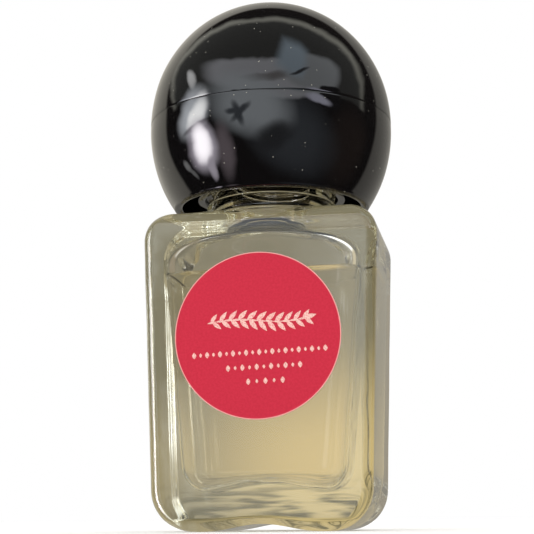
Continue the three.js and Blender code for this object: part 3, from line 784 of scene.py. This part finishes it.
bpy.context.collection.objects.link(backdrop)
for sense in ("camera", "diffuse", "glossy", "volume_scatter", "shadow"):
    setattr(backdrop, "visible_" + sense, False)
tree, output = new_material("tan_card", backdrop)
place = add(tree, "ShaderNodeTexCoord", {})
pool = add(tree, "ShaderNodeMapping", {
    "vector_type": "TEXTURE", "Vector": place.outputs["Object"],
    "Location": (LIGHT_POOL_CENTRE[0] * MM, card_y, LIGHT_POOL_CENTRE[1] * MM),
    "Scale": (LIGHT_POOL_SIZE[0] * MM, 1.0, LIGHT_POOL_SIZE[1] * MM),
})
from_light_pool = add(tree, "ShaderNodeVectorMath", {"operation": "LENGTH", 0: pool.outputs[0]}).outputs["Value"]
height = add(tree, "ShaderNodeSeparateXYZ", {"Vector": place.outputs["Object"]}).outputs["Z"]
drawn = add(tree, "ShaderNodeMapping", {
    "Vector": place.outputs["Object"], "Scale": (1 / (STREAK_LENGTH * MM), 1.0, 1 / (STREAK_WIDTH * MM)),
})
streaks = add(tree, "ShaderNodeTexNoise", {"Vector": drawn.outputs[0], "Scale": 1.0, "Detail": 2.0})
# Painted shadow near the floor: olive streaks of stretched noise, only low on the card.
low_down = step_up(tree, height, STREAK_FROM * MM, STREAK_FULL * MM)
streaked_shadow = add(tree, "ShaderNodeMath", {
    "operation": "MULTIPLY", 0: step_up(tree, streaks.outputs["Fac"], 0.42, 0.62), 1: low_down,
}).outputs[0]
# Painted pool of light: the card is lighter towards a spot low on the right.
tan = blend(tree, step_up(tree, from_light_pool, 1.4, 0.1), linear(CARD_DIM), linear(CARD_PAINTED_LIGHT))
tan = blend(tree, streaked_shadow, tan, linear(CARD_OLIVE_SHADOW))
# Painted shade under the cap: the card darkens towards its top.
shade = step_up(tree, height, SHADE_FROM * MM, SHADE_FULL * MM)
shine = add(tree, "ShaderNodeEmission", {"Color": blend(tree, shade, tan, linear(CARD_SHADE))})
tree.links.new(shine.outputs[0], output.inputs["Surface"])


# ---- Light --------------------------------------------------------------
# Soft studio light: even white all round for matt surfaces, one large soft
# lamp high on the left, and a room of pale panels that gloss and glass show.
# Light may turn many times inside the thick glass before it comes out.
LIGHT_TURNS = 24
for kind in ("max_bounces", "glossy_bounces", "transmission_bounces"):
    setattr(bpy.context.scene.cycles, kind, LIGHT_TURNS)
FORWARD = np.array([0, 0, SKIRT_CENTRE]) - EYE
FORWARD = FORWARD / np.linalg.norm(FORWARD)
RIGHT = np.cross(FORWARD, (0, 0, 1))
RIGHT = RIGHT / np.linalg.norm(RIGHT)
ABOVE = np.cross(RIGHT, FORWARD)
world = bpy.data.worlds.new("studio")
world.use_nodes = True
bpy.context.scene.world = world
tree = world.node_tree
tree.nodes.clear()
output = add(tree, "ShaderNodeOutputWorld", {})
direction = add(tree, "ShaderNodeTexCoord", {}).outputs["Generated"]


def dot(tree, vector, axis):
    """How far a vector reaches along a fixed axis."""
    return add(tree, "ShaderNodeVectorMath", {
        "operation": "DOT_PRODUCT", 0: vector, 1: tuple(axis),
    }).outputs["Value"]


def glow(hex_colour, bright):
    """A colour of light: its linear colour times its brightness."""
    return (*[bright * v for v in linear(hex_colour)[:3]], 1)


# Where a mirror ball at the cap's place would show each direction: the
# half-way vector between the direction and the way back to the camera. A
# slow and a quick noise bend the lines there, so that no edge is ruled.
BEND_SLOW, BEND_QUICK = 0.07, 0.02
halfway = add(tree, "ShaderNodeVectorMath", {
    "operation": "SUBTRACT", 0: direction, 1: tuple(FORWARD),
}).outputs[0]
halfway = add(tree, "ShaderNodeVectorMath", {"operation": "NORMALIZE", 0: halfway}).outputs[0]
on_ball = add(tree, "ShaderNodeCombineXYZ", {
    0: dot(tree, halfway, RIGHT), 1: dot(tree, halfway, ABOVE),
}).outputs[0]
for detail, size in ((3.5, BEND_SLOW), (13.0, BEND_QUICK)):
    bend = add(tree, "ShaderNodeTexNoise", {"Vector": on_ball, "Scale": detail}).outputs["Color"]
    bend = add(tree, "ShaderNodeVectorMath", {"operation": "SUBTRACT", 0: bend, 1: (0.5, 0.5, 0.5)})
    on_ball = add(tree, "ShaderNodeVectorMath", {
        "operation": "MULTIPLY_ADD", 0: bend.outputs[0], 1: (size, size, 0), 2: on_ball,
    }).outputs[0]


def panel(tree, centre, half, turned, corners, soft):
    """A soft-edged panel on the mirror ball: 1 where |x|**corners + |y|**corners < 1."""
    own = add(tree, "ShaderNodeMapping", {
        "vector_type": "TEXTURE", "Vector": on_ball, "Location": (*centre, 0),
        "Rotation": (0, 0, math.radians(turned)), "Scale": (*half, 1),
    }).outputs[0]
    size = add(tree, "ShaderNodeVectorMath", {"operation": "ABSOLUTE", 0: own}).outputs[0]
    axes = add(tree, "ShaderNodeSeparateXYZ", {"Vector": size})
    across = add(tree, "ShaderNodeMath", {"operation": "POWER", 0: axes.outputs[0], 1: corners}).outputs[0]
    up = add(tree, "ShaderNodeMath", {"operation": "POWER", 0: axes.outputs[1], 1: corners}).outputs[0]
    both = add(tree, "ShaderNodeMath", {"operation": "ADD", 0: across, 1: up}).outputs[0]
    return step_up(tree, both, 1 + soft, 1 - soft)


# The panels: centre and half size as shares of the ball, tilt in degrees,
# squareness of the corners, softness of the edge, colour and brightness.
PANELS = (
    ((-0.03, 0.30), (0.78, 0.57), 0, 2, 0.06, "#a9a89e", 3.0),
    ((-0.03, 0.28), (0.755, 0.555), 0, 2, 0.06, "#aaaca6", 0.55),
    ((-0.03, -0.34), (0.90, 0.66), 0, 4, 0.05, "#8a8078", 0.08),
    ((0.60, -0.05), (0.15, 0.26), -10, 2, 0.9, "#a08878", 0.3),
    ((0.14, 0.06), (0.36, 0.24), -35, 2, 0.98, "#aab4be", 0.8),
    ((-0.04, 0.42), (0.48, 0.12), -3, 3, 0.45, "#b4b5ba", 4.6),
    ((-0.02, 0.42), (0.20, 0.03), 4, 2, 0.95, "#8f8c8c", 3.4),
    ((0.34, 0.44), (0.22, 0.13), -14, 3, 0.5, "#b3b7ba", 3.4),
    ((0.47, 0.27), (0.09, 0.06), -6, 4, 0.4, "#606060", 0.3),
    ((0.17, 0.55), (0.13, 0.15), 24, 1.25, 0.5, "#a3b2be", 4.4),
    ((0.22, 0.45), (0.07, 0.012), 16, 2, 0.9, "#606468", 1.6),
    ((-0.16, 0.24), (0.30, 0.18), -14, 2, 0.9, "#b4babf", 5.2),
    ((0.02, 0.03), (0.15, 0.09), 20, 2, 0.98, "#606468", 1.4),
    ((-0.24, 0.20), (0.085, 0.022), 38, 2, 0.98, "#6a7078", 2.6),
    ((-0.26, 0.19), (0.085, 0.024), -58, 2, 0.98, "#6a7078", 2.6),
    ((-0.31, 0.205), (0.05, 0.018), -8, 2, 0.98, "#6a7078", 2.8),
    ((0.38, 0.275), (0.10, 0.026), -18, 2, 0.8, "#c9c9da", 5.0),
    ((-0.37, -0.06), (0.07, 0.18), 8, 2, 0.98, "#d9c8d0", 2.0),
    ((-0.63, 0.39), (0.03, 0.06), 6, 2, 0.95, "#ffffff", 4.5),
    ((-0.62, 0.17), (0.10, 0.16), -24, 2, 0.97, "#eef3fa", 7.0),
    ((-0.59, 0.18), (0.055, 0.12), -28, 2, 0.97, "#ffffff", 14.0),
    ((-0.585, 0.095), (0.12, 0.020), 32, 2, 0.95, "#504c4c", 2.0),
    ((-0.55, -0.04), (0.10, 0.17), 8, 2, 0.98, "#efe6f4", 8.0),
    ((-0.56, -0.03), (0.065, 0.12), 8, 2, 0.95, "#fffaff", 22.0),
    ((-0.48, -0.20), (0.03, 0.08), 14, 2, 0.95, "#efe6f4", 6.0),
    ((-0.68, -0.18), (0.05, 0.02), -60, 2, 0.95, "#e0e0e0", 2.5),
    ((-0.63, -0.24), (0.05, 0.015), -52, 2, 0.95, "#e0e0e0", 1.8),
)
gloss_room = glow("#c8b8ac", 0.05)
for centre, half, tilt, corners, soft, colour, bright in PANELS:
    share = panel(tree, centre, half, tilt, corners, soft)
    gloss_room = blend(tree, share, gloss_room, glow(colour, bright))

# A pale sweep behind the bottle, lighter on the left and dimmer far back, is
# what the rim of the cap and the edges of the glass mirror.
SWEEP_AXIS, SWEEP_EDGE = 0.894 * FORWARD - 0.447 * ABOVE, 0.38
SWEEP_WHITE, SWEEP_WARM = "#dedad0", "#eee9dc"
back = dot(tree, direction, SWEEP_AXIS)
to_left = step_up(tree, dot(tree, direction, RIGHT), 0.4, -0.4)
sweep = blend(tree, to_left, glow(SWEEP_WHITE, 0.62), glow(SWEEP_WARM, 0.95))
sweep = blend(tree, step_up(tree, back, 0.86, 1.0), sweep, glow(SWEEP_WHITE, 0.45))
in_sweep = step_up(tree, back, SWEEP_EDGE - 0.03, SWEEP_EDGE + 0.05)
gloss_room = blend(tree, in_sweep, gloss_room, sweep)

# Rays that leave the glass past the backdrop see a dim brown room, with a
# bright ceiling, a white wall in front, and one window in front on the right.
WINDOW_AXIS = 0.75 * RIGHT + 0.47 * ABOVE - 0.47 * FORWARD
WALL_LEFT, WALL_RIGHT = "#8f8268", "#c2b492"
CEILING_WHITE, FRONT_WHITE = (1.5, 1.5, 1.4, 1), (1.3, 1.28, 1.2, 1)
PANE_DIM, PANE_BRIGHT, PANE_DETAIL = (1.5, 1.45, 1.3, 1), (3.6, 3.6, 3.6, 1), 45.0
window = step_up(tree, dot(tree, direction, WINDOW_AXIS), 0.972, 0.992)
to_right = step_up(tree, dot(tree, direction, RIGHT), -0.3, 0.7)
clear_room = blend(tree, to_right, linear(WALL_LEFT), linear(WALL_RIGHT))
ceiling = step_up(tree, dot(tree, direction, ABOVE), 0.55, 0.85)
clear_room = blend(tree, ceiling, clear_room, CEILING_WHITE)
in_front = step_up(tree, dot(tree, direction, 0.2 * ABOVE - 0.98 * FORWARD), 0.94, 0.985)
clear_room = blend(tree, in_front, clear_room, FRONT_WHITE)
panes = add(tree, "ShaderNodeTexNoise", {"Vector": direction, "Scale": PANE_DETAIL, "Detail": 1.0})
pane = blend(tree, step_up(tree, panes.outputs["Fac"], 0.42, 0.58), PANE_DIM, PANE_BRIGHT)
clear_room = blend(tree, window, clear_room, pane)

# Matt surfaces see an even white studio, brighter overhead.
STUDIO_LOW, STUDIO_HIGH = (0.4, 0.4, 0.4, 1), (1.6, 1.6, 1.6, 1)
overhead = step_up(tree, dot(tree, direction, (0, 0, 1)), -0.2, 1.0)
matt_room = blend(tree, overhead, STUDIO_LOW, STUDIO_HIGH)

path = add(tree, "ShaderNodeLightPath", {})
seen = blend(tree, path.outputs["Is Glossy Ray"], matt_room, gloss_room)
seen = blend(tree, path.outputs["Is Transmission Ray"], seen, clear_room)
seen = blend(tree, path.outputs["Is Camera Ray"], seen, (1, 1, 1, 1))
sky = add(tree, "ShaderNodeBackground", {"Color": seen, "Strength": 1.0})
tree.links.new(sky.outputs[0], output.inputs["Surface"])

LAMP_PLACE, LAMP_AIM, LAMP_SIZE, LAMP_POWER = (-260, -220, 300), (0, 0, 25), 200, 2.0
lamp = bpy.data.objects.new("soft_lamp", bpy.data.lights.new("soft_lamp", "AREA"))
bpy.context.collection.objects.link(lamp)
lamp.data.size = LAMP_SIZE * MM
lamp.data.energy = LAMP_POWER
lamp.location = np.array(LAMP_PLACE) * MM
aim = np.array(LAMP_AIM) - np.array(LAMP_PLACE)
lamp.rotation_euler = (math.acos(aim[2] / np.linalg.norm(aim)) + math.pi, 0,
                       math.atan2(aim[0], -aim[1]) + math.pi)
lamp.visible_glossy = False
lamp.visible_transmission = False
